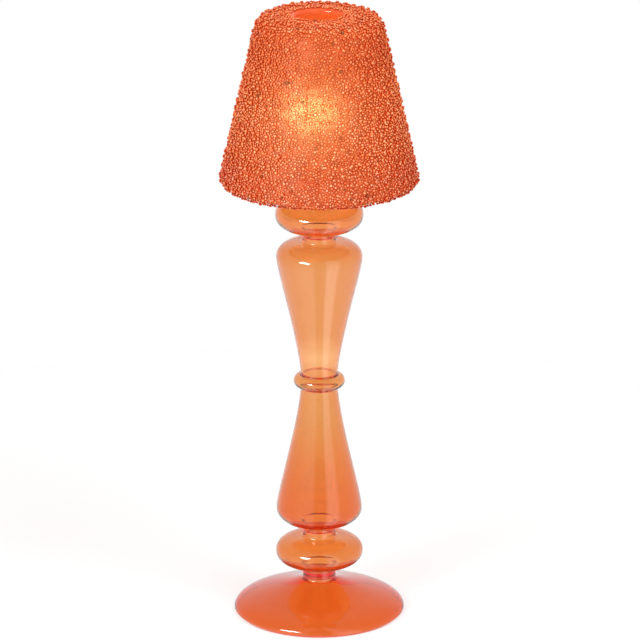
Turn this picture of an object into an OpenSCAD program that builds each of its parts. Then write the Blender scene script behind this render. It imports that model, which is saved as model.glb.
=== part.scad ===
// Tea light holder: a blown glass candlestick that carries a tea light under a beaded glass shade.
// Millimetres, +Z up. The origin is the middle of the ring that the foot stands on.

/* [Foot] */
// Diameter of the foot
foot_d = 94; // [80:1:115]
// Height of the foot's dome, up to its neck
dome_h = 18.2; // [15:0.2:26]
// Height at which the foot's edge is widest
edge_h = 1.4; // [1:0.1:2]
// Height to which the dome's edge swells before it slopes in
dome_swell = 8.4; // [5:0.1:12]
// Reach and height of the sweep from the dome into its neck
dome_sweep = [12, 11.3]; // [8:0.1:16]
// Thickness of the glass in the foot
foot_wall = 3.2; // [2.6:0.1:3.8]
// Width of the flat ring that the foot stands on
ring_w = 5; // [3:0.5:8]

/* [Stem] */
// Diameter of the necks between the blown bellies
neck_d = 18.4; // [16:0.1:22.1]
// Half the length of each of the two lower necks
lower_neck_h = 4.1; // [2.5:0.1:8]
// Half the length of each of the two upper necks
upper_neck_h = 3.3; // [2.5:0.1:8]
// Thickness of the blown glass wall
wall = 2; // [1.4:0.1:2.6]
// Thickness of the glass that closes each bubble at a seam
seam_wall = 1; // [0.8:0.1:2]
// Diameter of the two flattened knops
knop_d = 48; // [40:0.5:58]
// Height of the lower knop's belly
lower_knop_h = 16.2; // [12:0.2:24]
// Height of the upper knop's belly
upper_knop_h = 17.4; // [12:0.2:24]
// How square the bellies are, where 2 is an ellipse
belly_power = 2.3; // [1.8:0.1:3]

/* [Cones] */
// Diameter of the two long cones at their widest
cone_d = 47; // [40:0.5:58]
// Diameter of the waist, where the cones meet the ring
waist_d = 20.4; // [16:0.2:26]
// Height of the rounded bottom of the lower cone
cone_bowl_h = 9.2; // [6:0.2:14]
// Height of the lower cone from its widest place to the ring
lower_taper_h = 69.4; // [50:0.5:95]
// Height of the upper cone from the ring to its widest place
upper_taper_h = 66.8; // [50:0.5:95]
// Height of the rounded top of the upper cone
cone_top_h = 8.9; // [6:0.2:14]
// Length over which a cone leaves its widest place
belly_pull = 7; // [3:0.5:12]
// Length over which a cone straightens at the waist
waist_pull = 14; // [6:0.5:24]

/* [Centre ring] */
// Diameter of the solid glass ring
ring_d = 28; // [24:0.5:36]
// Height of the ring, from seam to seam
ring_h = 8; // [5:0.2:14]
// Share of that height over which the ring swells
ring_swell = 0.9; // [0.6:0.05:1]

/* [Candle dish] */
// Height of the well's floor above the seam under the dish
floor_h = 12.6; // [10:0.2:18]
// Depth of the well that the tea light stands in
well_depth = 7; // [4:0.5:10]
// Rise of the dish from the well to its rim
rim_rise = 6; // [4:0.5:10]
// Thickness of the glass in the dish
dish_wall = 2.2; // [1.8:0.1:2.8]
// How far the wing of the dish curves before it meets its rim, inwards and down
wing_pull = [12, 2.5]; // [2:0.5:12]
// Radius of the soft corners in the well
well_corner = 1; // [0.5:0.1:2]
// Height of the rim's sloping edge that carries the shade
seat_h = 3; // [2:0.2:4]

/* [Shade] */
// Diameter of the shade's glass at its lower edge
shade_d = 104.6; // [95:0.2:130]
// Height of the shade's glass
shade_h = 91; // [75:0.5:115]
// Slope of the shade's side, in degrees from upright
shade_slope = 12.65; // [8:0.05:14]
// Thickness of the shade's glass
shade_wall = 2; // [1.6:0.1:2.6]
// Radius of the shade's shoulder
shoulder_r = 8; // [5:0.5:12]
// How far the shade's edge hangs below the rim of the dish
skirt_drop = 18.5; // [12:0.5:24]
// Diameter of the hole in the top of the shade
vent_d = 26; // [20:0.5:32]
// Radius of the rolled lip round that hole
lip_r = 1.6; // [1.2:0.1:2.2]

/* [Bead coat] */
// Thickness of the bed of fine beads and glue
bed_t = 0.5; // [0.4:0.1:1]
// Diameter of the largest standing beads
bead_d = 2.3; // [1.6:0.1:2.6]
// Distance from bead to bead
bead_pitch = 4.8; // [4:0.1:8]
// Share of the pitch by which a bead may stray from its row
bead_stray = 0.4; // [0:0.05:0.4]
// Width of the bare glass between the lip and the coat
bare_w = 3; // [1:0.5:6]

/* [Tea light] */
// Diameter of the tea light's cup
tea_d = 38.2; // [32:0.2:46]
// Height of the cup
tea_h = 16; // [12:0.5:20]
// Thickness of the cup's metal
foil = 0.3; // [0.2:0.05:0.5]
// Height of the wax
wax_h = 12.5; // [9:0.5:14]
// Diameter of the wick
wick_d = 1.6; // [1.2:0.1:2.4]
// Length of wick that stands above the wax
wick_out = 5; // [3:0.5:8]
// Diameter of the metal tab that holds the wick
tab_d = 13; // [10:0.5:18]

/* [Fits] */
// Gap between the rim of the dish and the shade that rests on it
seat_gap = 0.25; // [0.15:0.05:0.4]
// Gap round the tea light in its well
well_gap = 1.2; // [0.6:0.1:2]
// Gap under the tea light, where it stands in the well
rest_gap = 0.2; // [0.1:0.05:0.3]
// Thickness of the glue lines in the bead coat
glue = 0.1; // [0.08:0.01:0.2]
// Gap between the pieces inside the tea light
wax_gap = 0.1; // [0.05:0.05:0.2]

/* [Hidden] */
$fn = 72;

// Steps in each curve
steps = 16;
// Radius of the necks, and of the waist
neck_r = neck_d / 2;
waist_r = waist_d / 2;

// Heights of the seams, stacked from the table up
seam_1 = dome_h + lower_neck_h;
seam_2 = seam_1 + 2 * lower_neck_h + lower_knop_h;
ring_z = seam_2 + lower_neck_h + cone_bowl_h + lower_taper_h;
ring_top = ring_z + ring_h;
seam_3 = ring_top + upper_taper_h + cone_top_h + upper_neck_h;
seam_4 = seam_3 + 2 * upper_neck_h + upper_knop_h;

// Heights in the dish, and the shade's lower edge, which hangs from its rim
floor_z = seam_4 + floor_h;
well_z = floor_z + well_depth;
rim_z = well_z + rim_rise;
shade_z = rim_z - skirt_drop;
well_r = tea_d / 2 + well_gap;

// Middle of the shoulder's arc, in the shade's own heights
shoulder_z = shade_h - shoulder_r;
shoulder_x = shade_d / 2 - shoulder_z * tan(shade_slope) - shoulder_r / cos(shade_slope);
// Place where the coat ends round the lip
bare_r = vent_d / 2 + 2 * lip_r + bare_w;

// Colours
clear_orange = [0.92, 0.42, 0.16, 0.55];
bead_orange = [0.86, 0.38, 0.22];
aluminium = [0.78, 0.79, 0.80];
wax_white = [0.96, 0.94, 0.88];

// A smooth curve from p to q that leaves along a and arrives from b
function curve(p, a, b, q) =
    [for (i = [0 : steps]) let (t = i / steps, u = 1 - t)
        u * u * u * p + 3 * u * u * t * a + 3 * u * t * t * b + t * t * t * q];

// A quarter of a belly, from the neck [r, z] out to the widest place
function quarter(neck, widest, power) =
    [for (i = [0 : steps]) let (a = 90 * i / steps)
        [neck.x + (widest.x - neck.x) * pow(sin(a), 2 / power),
         widest.y + (neck.y - widest.y) * pow(cos(a), 2 / power)]];

// An arc round a middle, from one angle to another
function arc(middle, r, from, to) =
    [for (i = [0 : steps]) let (a = from + (to - from) * i / steps)
        middle + r * [cos(a), sin(a)]];

function reverse(list) = [for (i = [len(list) - 1 : -1 : 0]) list[i]];

// A sealed glass bubble between two seams: the profile is drawn at inset 0 for the outside
// and at the wall's thickness for the inside
module bubble(low, high, outside, inside) {
    difference() {
        rotate_extrude()
            polygon(concat([[0, low]], outside, [[0, high]]));
        rotate_extrude()
            polygon(concat([[0, low + seam_wall]], inside, [[0, high - seam_wall]]));
    }
}

// A knop's profile between its seams
function knop(low, high, neck_h, inset, cap) =
    let (r = neck_r - inset,
         middle = (low + high) / 2,
         half = (high - low) / 2 - neck_h - inset,
         widest = [knop_d / 2 - inset, middle])
    concat([[r, low + cap]],
           quarter([r, middle - half], widest, belly_power),
           reverse(quarter([r, middle + half], widest, belly_power)),
           [[r, high - cap]]);

// The lower cone's profile: a rounded bowl that tapers up to the waist
function lower_cone_line(inset, cap) =
    let (widest = [cone_d / 2 - inset, seam_2 + lower_neck_h + cone_bowl_h])
    concat([[neck_r - inset, seam_2 + cap]],
           quarter([neck_r - inset, seam_2 + lower_neck_h + inset], widest, belly_power),
           curve(widest, widest + [0, belly_pull],
                 [waist_r - inset, ring_z - waist_pull], [waist_r - inset, ring_z - cap]));

// The upper cone's profile: it opens from the waist and rounds over to the neck
function upper_cone_line(inset, cap) =
    let (widest = [cone_d / 2 - inset, ring_top + upper_taper_h])
    concat(curve([waist_r - inset, ring_top + cap], [waist_r - inset, ring_top + waist_pull],
                 widest - [0, belly_pull], widest),
           reverse(quarter([neck_r - inset, seam_3 - upper_neck_h - inset], widest, belly_power)),
           [[neck_r - inset, seam_3 - cap]]);

// The foot's dome, from its edge up to the neck. The underside follows it at the glass's thickness.
function dome(inset) =
    let (edge = foot_d / 2 - inset)
    curve([edge, max(edge_h - inset, 0)], [edge, dome_swell - inset],
          [neck_r + dome_sweep.x - inset, dome_sweep.y - inset], [neck_r - inset, dome_h - inset]);

module foot() {
    stand_r = foot_d / 2 - 1;
    color(clear_orange)
    difference() {
        rotate_extrude()
            polygon(concat([[0, 0], [stand_r, 0]], dome(0), [[neck_r, seam_1], [0, seam_1]]));
        rotate_extrude()
            polygon(concat([[0, -1], [stand_r - ring_w, -1]],
                           [for (p = dome(foot_wall)) if (p.x < stand_r - ring_w) p],
                           [[neck_r - foot_wall, seam_1 - foot_wall], [0, seam_1 - foot_wall]]));
    }
}

module lower_knop() {
    color(clear_orange)
    bubble(seam_1, seam_2, knop(seam_1, seam_2, lower_neck_h, 0, 0),
           knop(seam_1, seam_2, lower_neck_h, wall, seam_wall));
}

module lower_cone() {
    color(clear_orange)
    bubble(seam_2, ring_z, lower_cone_line(0, 0), lower_cone_line(wall, seam_wall));
}

module centre_ring() {
    middle = [waist_r, (ring_z + ring_top) / 2];
    color(clear_orange)
    rotate_extrude()
        polygon(concat([[0, ring_z], [waist_r, ring_z]],
                       [for (i = [0 : 2 * steps]) let (a = -90 + 90 * i / steps)
                           middle + [(ring_d / 2 - waist_r) * cos(a), ring_swell * ring_h / 2 * sin(a)]],
                       [[waist_r, ring_top], [0, ring_top]]));
}

module upper_cone() {
    color(clear_orange)
    bubble(ring_top, seam_3, upper_cone_line(0, 0), upper_cone_line(wall, seam_wall));
}

module upper_knop() {
    color(clear_orange)
    bubble(seam_3, seam_4, knop(seam_3, seam_4, upper_neck_h, 0, 0),
           knop(seam_3, seam_4, upper_neck_h, wall, seam_wall));
}

// Radius of the shade's inner face at a height above the table
function shade_inside(z) =
    shade_d / 2 - (z - shade_z) * tan(shade_slope) - shade_wall / cos(shade_slope);

// The dish: a well for the tea light, and a wide rim whose sloping edge carries the shade
module candle_dish() {
    seat_low = [shade_inside(rim_z - seat_h) - seat_gap, rim_z - seat_h];
    seat_high = [shade_inside(rim_z) - seat_gap, rim_z];
    neck_top = seam_4 + upper_neck_h;
    well_out = well_r + dish_wall;
    color(clear_orange)
    rotate_extrude()
        polygon(concat(
            // Underside: neck, bowl of the well, and the flared wing
            [[neck_r - wall, seam_4], [neck_r, seam_4]],
            curve([neck_r, neck_top], [neck_r, neck_top + dish_wall],
                  [well_out, floor_z - 2 * dish_wall], [well_out, floor_z]),
            curve([well_out, well_z - dish_wall], [well_out + 2 * dish_wall, well_z - dish_wall],
                  seat_low - wing_pull, seat_low),
            // Top: seat edge, wing, wall of the well and its floor
            [seat_high, seat_high - [dish_wall, 0]],
            curve(seat_high - [dish_wall + well_corner, well_corner],
                  seat_low - wing_pull + [0, dish_wall],
                  [well_out + 2 * dish_wall, well_z], [well_r + well_corner, well_z]),
            arc([well_r + well_corner, well_z - well_corner], well_corner, 90, 180),
            arc([well_r - well_corner, floor_z + well_corner], well_corner, 0, -90),
            [[0, floor_z],
             [0, floor_z - dish_wall], [neck_r - wall, floor_z - dish_wall]]));
}

// The shade's outer face, moved out by an offset, from a height on its side to a radius on its top
function skin(offset, z_low, r_end) =
    concat([[shade_d / 2 - z_low * tan(shade_slope) + offset / cos(shade_slope), z_low]],
           arc([shoulder_x, shoulder_z], shoulder_r + offset, shade_slope, 90),
           [[r_end, shade_h + offset]]);

module shade_glass() {
    edge_z = shade_wall / 2;
    edge_x = shade_d / 2 - edge_z * tan(shade_slope) - shade_wall / 2 / cos(shade_slope);
    vent_r = vent_d / 2;
    color(clear_orange)
    translate([0, 0, shade_z])
    rotate_extrude() {
        polygon(concat(skin(0, edge_z, vent_r + lip_r),
                       reverse(skin(-shade_wall, edge_z, vent_r + lip_r)),
                       arc([edge_x, edge_z], shade_wall / 2, shade_slope + 180, shade_slope + 360)));
        translate([vent_r + lip_r, shade_h - shade_wall + lip_r])
            circle(r = lip_r);
    }
}

module bead_bed() {
    color(bead_orange)
    translate([0, 0, shade_z])
    rotate_extrude()
        polygon(concat(skin(glue + bed_t, shade_wall / 2, bare_r),
                       reverse(skin(glue, shade_wall / 2, bare_r))));
}

// Standing beads, in staggered rows that climb the side and turn over the shoulder
bead_side = (shoulder_z + shoulder_r * sin(shade_slope)) / cos(shade_slope);
bead_turn = (shoulder_r + bed_t + bead_d / 2) * (90 - shade_slope) * PI / 180;
bead_top = shoulder_x - bare_r - bead_d / 2;
bead_start = 1.2 + bead_d / 2;
bead_rows = floor((bead_side + bead_turn + bead_top - bead_start) / bead_pitch);
rows_a_band = ceil((bead_rows + 1) / 4);

// A number from 0 to 1 that looks random and is the same each time
function scatter(i, j) = let (v = sin(127.1 * i + 311.7 * j) * 4375.85) v - floor(v);

// The middle of a bead [r, z] at a distance up the skin, standing off it by an offset
function on_skin(s, offset) =
    let (turned = shade_slope + (s - bead_side) / (shoulder_r + offset) * 180 / PI)
    s < bead_side
        ? [shade_d / 2 - s * sin(shade_slope) + offset * cos(shade_slope),
           s * cos(shade_slope) + offset * sin(shade_slope)]
    : turned < 90
        ? [shoulder_x, shoulder_z] + (shoulder_r + offset) * [cos(turned), sin(turned)]
        : [shoulder_x - (s - bead_side - (shoulder_r + offset) * (90 - shade_slope) * PI / 180),
           shade_h + offset];

module bead_row(row) {
    s = bead_start + row * bead_pitch;
    round_row = 2 * PI * on_skin(s, 0).x;
    count = floor(round_row / bead_pitch);
    for (j = [0 : count - 1]) {
        r = bead_d / 2 * (0.75 + 0.25 * scatter(row, j));
        stray = bead_stray * (scatter(row + 40, j) - 0.5);
        place = on_skin(s + bead_pitch * bead_stray * (scatter(row + 80, j) - 0.5),
                        2 * glue + bed_t + r);
        rotate([0, 0, 360 * (j + 0.5 * (row % 2) + stray) / count])
            translate([place.x, 0, place.y])
            sphere(r = r, $fn = 24);
    }
}

module bead_band(band) {
    color(bead_orange)
    translate([0, 0, shade_z])
    for (row = [band * rows_a_band : min((band + 1) * rows_a_band - 1, bead_rows)])
        bead_row(row);
}

module beads_lower() { bead_band(0); }
module beads_middle() { bead_band(1); }
module beads_upper() { bead_band(2); }
module beads_shoulder() { bead_band(3); }

// Tea light: a thin metal cup with a rolled edge, a wax block, and a wick in its metal tab
tea_z = floor_z + rest_gap;
cup_floor = tea_z + foil;
tab_t = 0.4;
sleeve_h = 2.5;
sleeve_r = wick_d / 2 + wax_gap + 0.4;
wax_top = cup_floor + wax_h;

module candle_cup() {
    roll_r = 2 * foil;
    color(aluminium)
    rotate_extrude() {
        polygon([[0, tea_z], [tea_d / 2, tea_z], [tea_d / 2, tea_z + tea_h],
                 [tea_d / 2 - foil, tea_z + tea_h], [tea_d / 2 - foil, cup_floor], [0, cup_floor]]);
        translate([tea_d / 2, tea_z + tea_h])
            circle(r = roll_r);
    }
}

module wick_tab() {
    color(aluminium)
    difference() {
        union() {
            translate([0, 0, cup_floor])
                cylinder(d = tab_d, h = tab_t);
            translate([0, 0, cup_floor])
                cylinder(r = sleeve_r, h = sleeve_h);
        }
        translate([0, 0, cup_floor + tab_t])
            cylinder(r = wick_d / 2 + wax_gap, h = sleeve_h);
    }
}

module wax() {
    wax_r = tea_d / 2 - foil - wax_gap;
    color(wax_white)
    difference() {
        rotate_extrude()
            polygon([[0, cup_floor], [wax_r, cup_floor], [wax_r, wax_top],
                     [wax_r - 1, wax_top - 0.5], [sleeve_r + 4, wax_top - 0.8], [0, wax_top - 1]]);
        translate([0, 0, cup_floor - 1])
            cylinder(d = tab_d + 2 * wax_gap, h = 1 + tab_t + wax_gap);
        translate([0, 0, cup_floor - 1])
            cylinder(r = sleeve_r + wax_gap, h = 1 + sleeve_h + wax_gap);
        cylinder(r = wick_d / 2 + wax_gap, h = wax_top + 1);
    }
}

module wick() {
    color("ivory")
    translate([0, 0, cup_floor + tab_t])
        cylinder(d = wick_d, h = wax_h - 1 - tab_t + wick_out);
}

foot();
lower_knop();
lower_cone();
centre_ring();
upper_cone();
upper_knop();
candle_dish();
shade_glass();
bead_bed();
beads_lower();
beads_middle();
beads_upper();
beads_shoulder();
candle_cup();
wax();
wick();
wick_tab();
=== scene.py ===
# %% [markdown]
# # A tea light holder of blown orange glass
#
# The object is a tall candlestick, blown in one orange glass, with a tea light under a glass
# shade. The outside of the shade is coated with glass beads. The shade only rests on the rim of
# the dish, so it lifts off, and the tea light lifts out of its well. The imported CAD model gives
# the places and sizes. This lesson adds the looks: clear glass, sparkling beads, wax, foil and
# a flame.

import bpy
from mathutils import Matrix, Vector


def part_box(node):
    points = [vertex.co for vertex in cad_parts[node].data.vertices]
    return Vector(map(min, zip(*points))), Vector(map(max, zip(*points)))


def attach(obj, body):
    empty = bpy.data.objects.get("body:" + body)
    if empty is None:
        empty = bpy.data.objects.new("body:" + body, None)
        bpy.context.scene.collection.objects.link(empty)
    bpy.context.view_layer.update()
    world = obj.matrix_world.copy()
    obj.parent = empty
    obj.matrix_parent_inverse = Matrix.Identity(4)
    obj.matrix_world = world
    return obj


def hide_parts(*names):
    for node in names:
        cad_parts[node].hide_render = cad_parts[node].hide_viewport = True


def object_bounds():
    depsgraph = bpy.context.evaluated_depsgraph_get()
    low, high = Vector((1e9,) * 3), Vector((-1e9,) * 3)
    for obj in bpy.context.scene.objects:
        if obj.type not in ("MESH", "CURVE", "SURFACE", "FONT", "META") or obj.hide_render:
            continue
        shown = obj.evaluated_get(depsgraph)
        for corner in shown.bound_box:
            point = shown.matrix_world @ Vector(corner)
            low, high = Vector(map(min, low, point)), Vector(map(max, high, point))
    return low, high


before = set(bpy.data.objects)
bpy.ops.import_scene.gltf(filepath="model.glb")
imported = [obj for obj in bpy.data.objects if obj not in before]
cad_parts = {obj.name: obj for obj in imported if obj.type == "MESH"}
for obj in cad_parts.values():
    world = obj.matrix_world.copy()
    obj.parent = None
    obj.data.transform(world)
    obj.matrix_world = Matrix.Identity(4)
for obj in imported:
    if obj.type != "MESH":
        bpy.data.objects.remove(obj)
cad_low, cad_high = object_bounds()
print("frame:", len(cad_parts), "nodes, height", round(cad_high.z, 4), "m")

# %% Tools for the lesson
import math
import random

import bmesh
import bpy
import numpy as np
from mathutils import Vector, kdtree, noise

scene = bpy.context.scene
MM = 0.001


def add_node(tree, kind, inputs=None, **settings):
    """A new node in a tree, with its settings and the plain values of its inputs."""
    made = tree.nodes.new(kind)
    for name, value in settings.items():
        setattr(made, name, value)
    for name, value in (inputs or {}).items():
        made.inputs[name].default_value = value
    return made


def colour_ramp(tree, stops):
    """A ColorRamp node with these (position, colour) stops."""
    made = add_node(tree, "ShaderNodeValToRGB")
    elements = made.color_ramp.elements
    elements[0].position, elements[0].color = stops[0]
    elements[1].position, elements[1].color = stops[-1]
    for position, colour in stops[1:-1]:
        elements.new(position).color = colour
    return made


# %% [markdown]
# ## The camera
#
# A long lens far away gives the flat perspective of a product picture. The camera stands in
# front of the object and looks down at it by about 18 degrees, so the foot and the hole in the
# shade both show as narrow ellipses. The whole object just fills the height of the picture.

# %% Camera
LOOK_DOWN = math.radians(18.35)
CAMERA_BACK = 2.7
AIM = Vector((0.0004, 0, 0.1679))
LENS_MM = 293.4

camera_data = bpy.data.cameras.new("camera")
camera_data.lens = LENS_MM
camera = bpy.data.objects.new("camera", camera_data)
camera.location = AIM + Vector((0, -CAMERA_BACK, CAMERA_BACK * math.tan(LOOK_DOWN)))
camera.rotation_euler = (math.pi / 2 - LOOK_DOWN, 0, 0)
scene.collection.objects.link(camera)
scene.camera = camera
print("camera at", [round(c, 4) for c in camera.location])

# %% [markdown]
# ## The light
#
# Glass has almost no colour of its own to light: it shows what is around and behind it. So the
# world has two faces. Rays that look past or through the object see a white backdrop, and rays
# that mirror in it see a grey studio. The softboxes are area lamps. They make the white
# highlights, and the camera and the rays that cross the glass don't see them.

# %% World
# Brightness round the object, by share of a turn from the camera past its left, the back and its right
STUDIO_TURN = [(0.00, 0.28), (0.035, 0.28), (0.055, 0.75), (0.15, 0.65), (0.22, 0.45), (0.32, 0.46), (0.40, 0.5), (0.47, 0.6),
               (0.53, 0.6), (0.60, 0.45), (0.68, 0.46), (0.83, 0.46), (0.86, 1.2), (0.93, 1.2), (0.955, 0.28), (1.00, 0.28)]
STUDIO_UNDER = 1.5
STUDIO_OVER = 0.6

world = bpy.data.worlds.new("studio")
world.use_nodes = True
scene.world = world
tree = world.node_tree
tree.nodes.clear()
path = add_node(tree, "ShaderNodeLightPath")
sees_backdrop = add_node(tree, "ShaderNodeMath", operation="MAXIMUM")
tree.links.new(path.outputs["Is Camera Ray"], sees_backdrop.inputs[0])
tree.links.new(path.outputs["Is Transmission Ray"], sees_backdrop.inputs[1])
place = add_node(tree, "ShaderNodeTexCoord")
parts = add_node(tree, "ShaderNodeSeparateXYZ")
turn = add_node(tree, "ShaderNodeMath", operation="ARCTAN2")
share = add_node(tree, "ShaderNodeMapRange", {"From Min": -math.pi, "From Max": math.pi})
walls = colour_ramp(tree, [(position, (light, light, light, 1)) for position, light in STUDIO_TURN])
rise = add_node(tree, "ShaderNodeMapRange", {"From Min": -0.6, "From Max": 0.7,
                                             "To Min": STUDIO_UNDER, "To Max": STUDIO_OVER})
light = add_node(tree, "ShaderNodeMath", operation="MULTIPLY")
studio = add_node(tree, "ShaderNodeBackground")
backdrop = add_node(tree, "ShaderNodeBackground", {"Color": (1, 1, 1, 1), "Strength": 1.0})
choose = add_node(tree, "ShaderNodeMixShader")
out = add_node(tree, "ShaderNodeOutputWorld")
tree.links.new(place.outputs["Generated"], parts.inputs[0])
tree.links.new(parts.outputs["X"], turn.inputs[0])
tree.links.new(parts.outputs["Y"], turn.inputs[1])
tree.links.new(turn.outputs[0], share.inputs["Value"])
tree.links.new(share.outputs[0], walls.inputs["Fac"])
tree.links.new(parts.outputs["Z"], rise.inputs["Value"])
tree.links.new(walls.outputs["Color"], light.inputs[0])
tree.links.new(rise.outputs[0], light.inputs[1])
tree.links.new(light.outputs[0], studio.inputs["Color"])
tree.links.new(sees_backdrop.outputs[0], choose.inputs["Fac"])
tree.links.new(studio.outputs[0], choose.inputs[1])
tree.links.new(backdrop.outputs[0], choose.inputs[2])
tree.links.new(choose.outputs[0], out.inputs["Surface"])
print("world: white backdrop, grey studio")

# %% Softboxes
MIDDLE = Vector((0, 0, (cad_low.z + cad_high.z) / 2))


def softbox(name, side, height, away, size, watts, mirrored=True):
    """An area lamp that faces the object. Side is in degrees to the camera's right, height in degrees up."""
    side, height = math.radians(side), math.radians(height)
    towards = Vector((math.sin(side) * math.cos(height), -math.cos(side) * math.cos(height), math.sin(height)))
    lamp = bpy.data.lights.new(name, "AREA")
    lamp.shape = "ELLIPSE"
    lamp.size, lamp.size_y = size
    lamp.energy = watts
    box = bpy.data.objects.new(name, lamp)
    box.location = MIDDLE + towards * away
    box.rotation_euler = towards.to_track_quat("Z", "Y").to_euler()
    box.visible_camera = False
    box.visible_transmission = False
    box.visible_glossy = mirrored
    scene.collection.objects.link(box)
    print(name, "at", [round(c, 2) for c in box.location], "m,", watts, "W")
    return box


softbox("key_softbox", side=-41, height=24, away=1.6, size=(0.8, 0.46), watts=20)
softbox("fill_softbox", side=52, height=50, away=1.8, size=(0.9, 0.9), watts=18, mirrored=False)
softbox("back_softbox", side=165, height=55, away=1.6, size=(1.0, 0.6), watts=6, mirrored=False)

# %% [markdown]
# ## The floor
#
# The floor is white like the backdrop. A matte surface alone would come out a little grey, so
# rays from the camera and through the glass see a faint glow added to it. Where the object
# shades the floor the glow stays and the lamp light goes, so a soft shadow is left.

# %% Floor
FLOOR_R = 0.45
FLOOR_GLOW = 0.59
# The floor lies a hair below the ring of the foot, so that the two faces don't touch
FLOOR_GAP = 0.05 * MM


def floor_material():
    mat = bpy.data.materials.new("white_floor")
    mat.use_nodes = True
    tree = mat.node_tree
    tree.nodes.clear()
    matte = add_node(tree, "ShaderNodeBsdfDiffuse", {"Color": (0.38, 0.38, 0.38, 1)})
    path = add_node(tree, "ShaderNodeLightPath")
    seen = add_node(tree, "ShaderNodeMath", operation="MAXIMUM")
    seen_too = add_node(tree, "ShaderNodeMath", operation="MAXIMUM")
    strength = add_node(tree, "ShaderNodeMath", operation="MULTIPLY")
    strength.inputs[1].default_value = FLOOR_GLOW
    glow = add_node(tree, "ShaderNodeEmission")
    both = add_node(tree, "ShaderNodeAddShader")
    out = add_node(tree, "ShaderNodeOutputMaterial")
    tree.links.new(path.outputs["Is Camera Ray"], seen.inputs[0])
    tree.links.new(path.outputs["Is Transmission Ray"], seen.inputs[1])
    tree.links.new(seen.outputs[0], seen_too.inputs[0])
    tree.links.new(path.outputs["Is Glossy Ray"], seen_too.inputs[1])
    tree.links.new(seen_too.outputs[0], strength.inputs[0])
    tree.links.new(strength.outputs[0], glow.inputs["Strength"])
    tree.links.new(matte.outputs[0], both.inputs[0])
    tree.links.new(glow.outputs[0], both.inputs[1])
    tree.links.new(both.outputs[0], out.inputs["Surface"])
    return mat


bm = bmesh.new()
bmesh.ops.create_circle(bm, cap_ends=True, segments=96, radius=FLOOR_R)
bmesh.ops.translate(bm, verts=bm.verts, vec=(0, 0, -FLOOR_GAP))
floor_mesh = bpy.data.meshes.new("floor")
bm.to_mesh(floor_mesh)
bm.free()
floor = bpy.data.objects.new("floor", floor_mesh)
floor.data.materials.append(floor_material())
scene.collection.objects.link(floor)
floor.visible_glossy = False
print("floor", 2 * FLOOR_R, "m across")

# %% [markdown]
# ## Orange glass
#
# The glass is clear and coloured all through, so a thick place is deeper in colour than a thin
# wall. Volume Absorption does that: it takes a share of each colour for every metre that light
# travels inside. The surface only bends and mirrors the light. Hand-blown glass is never quite
# even, so soft waves turn the surface a little, and faint cords make the tint uneven.
#
# Lamps can't be traced through bent glass, so shadow rays get a plain see-through surface
# instead. They still cross the volume, and the shadow comes out orange.

# %% Glass material
GLASS_IOR = 1.45
GLASS_PASSES_LAMPS = (0.92, 0.92, 0.92, 1)
WAVE_SIZE = 26 * MM
WAVE_DEPTH = 0.15 * MM


def shadow_passes(tree, surface, colour, out):
    """Sends surface to the output, and a see-through surface of that colour for rays from lamps."""
    path = add_node(tree, "ShaderNodeLightPath")
    through = add_node(tree, "ShaderNodeBsdfTransparent", {"Color": colour})
    mix = add_node(tree, "ShaderNodeMixShader")
    tree.links.new(path.outputs["Is Shadow Ray"], mix.inputs["Fac"])
    tree.links.new(surface, mix.inputs[1])
    tree.links.new(through.outputs[0], mix.inputs[2])
    tree.links.new(mix.outputs[0], out.inputs["Surface"])


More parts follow.
